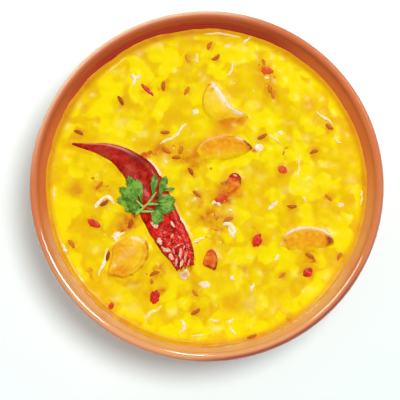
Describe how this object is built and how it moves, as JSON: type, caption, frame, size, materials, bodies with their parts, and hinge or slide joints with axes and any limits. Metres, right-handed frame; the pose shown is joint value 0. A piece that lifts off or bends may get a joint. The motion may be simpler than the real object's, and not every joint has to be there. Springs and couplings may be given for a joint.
{
  "type": "bowl of dal",
  "caption": "Round glazed terracotta bowl filled with yellow lentil dal, topped with a dried red chilli, a coriander sprig, golden onion slices, tomato, cumin and chilli flakes.",
  "frame": {"origin": "under the middle of the bowl's foot ring, on the surface that it stands on", "axes": "+Z up; the chilli's thin tip points to -X; +X is to the right seen from above with +Y up"},
  "size_m": [0.165, 0.165, 0.056],
  "materials": {
    "glazed_terracotta": "clear gloss glaze over orange-brown clay",
    "dal": "wet, soft, uneven yellow lentils",
    "dried_chilli": "oiled dried chilli skin, dark red to bright red",
    "coriander": "fresh green leaf with a satin sheen",
    "golden_onion": "soft fried onion, golden with browned edges, oily",
    "cooked_tomato": "soft orange flesh with red skin, oily"
  },
  "bodies": {
    "root": {"bowl": "glazed_terracotta", "dal": "dal", "chilli": "dried_chilli", "coriander_sprig": "coriander", "golden_slice_1": "golden_onion", "golden_slice_2": "golden_onion", "golden_slice_3": "golden_onion", "golden_slice_4": "golden_onion", "tomato_piece_1": "cooked_tomato", "tomato_piece_2": "cooked_tomato"}
  },
  "joints": []
}
